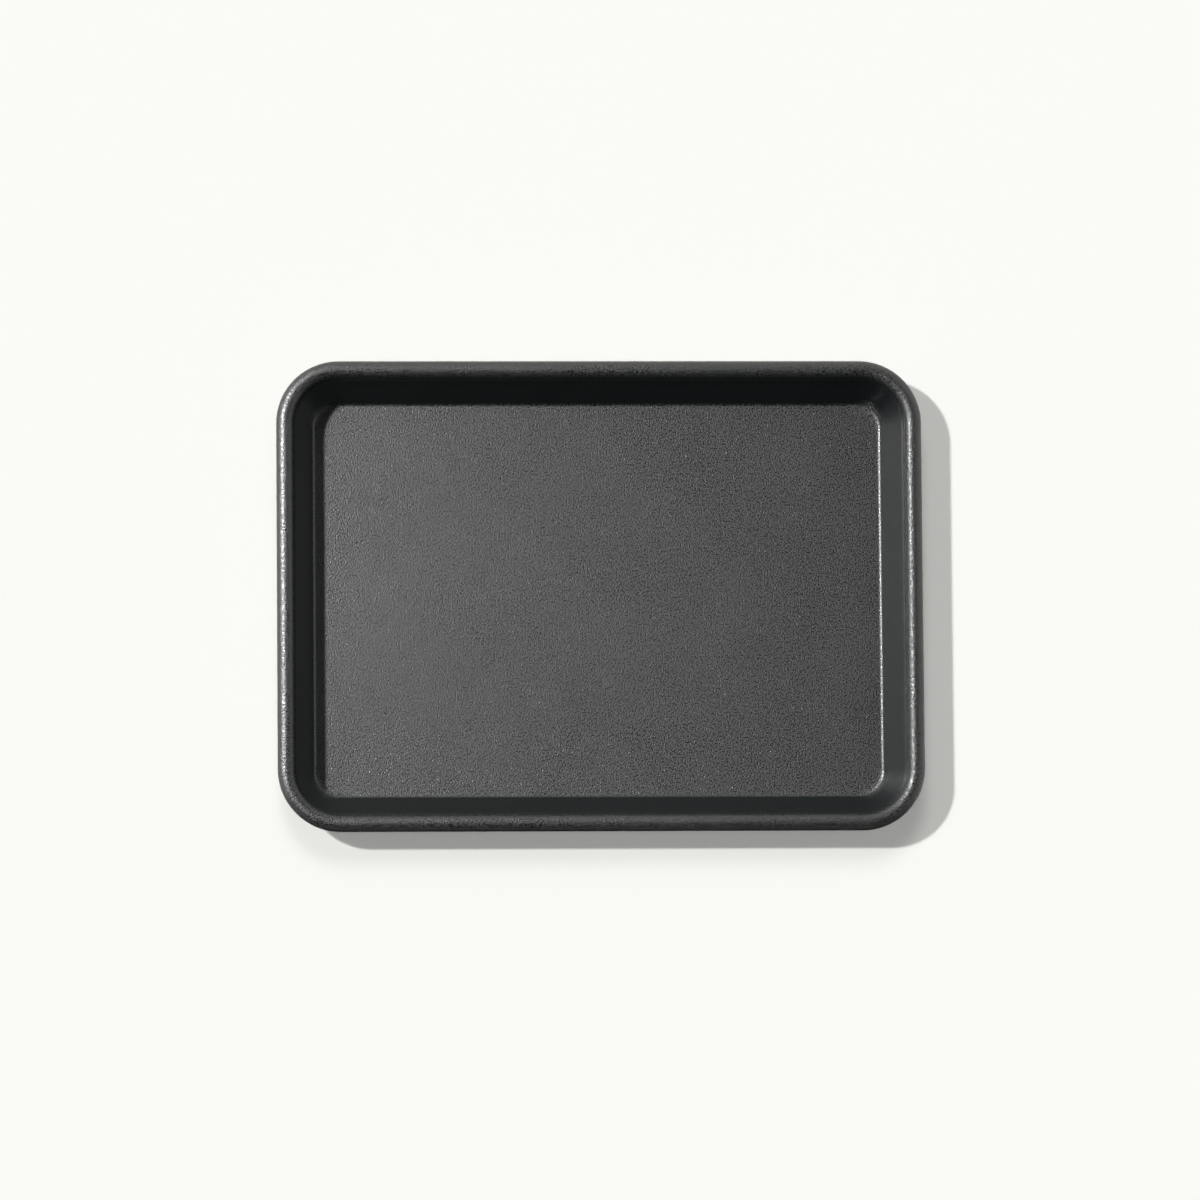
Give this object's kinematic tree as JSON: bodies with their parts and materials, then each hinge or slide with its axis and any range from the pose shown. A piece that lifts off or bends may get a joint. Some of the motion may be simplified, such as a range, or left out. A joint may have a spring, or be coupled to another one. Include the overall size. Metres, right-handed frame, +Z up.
{
  "type": "sheet pan",
  "caption": "Shallow rectangular baking tray with rounded corners, leaning walls and a rim rolled round a steel wire.",
  "frame": {"origin": "middle of the flat base, on the surface that the pan stands on", "axes": "+X along the length, +Y along the width, +Z up out of the open top"},
  "size_m": [0.3302, 0.2414, 0.0254],
  "materials": {
    "coated_sheet": "dark grey non-stick coating with a fine pebble grain and a satin shine",
    "wire": "zinc-coated drawn wire"
  },
  "bodies": {
    "root": {"pan_shell": "coated_sheet", "rim_wire": "wire"}
  },
  "joints": []
}
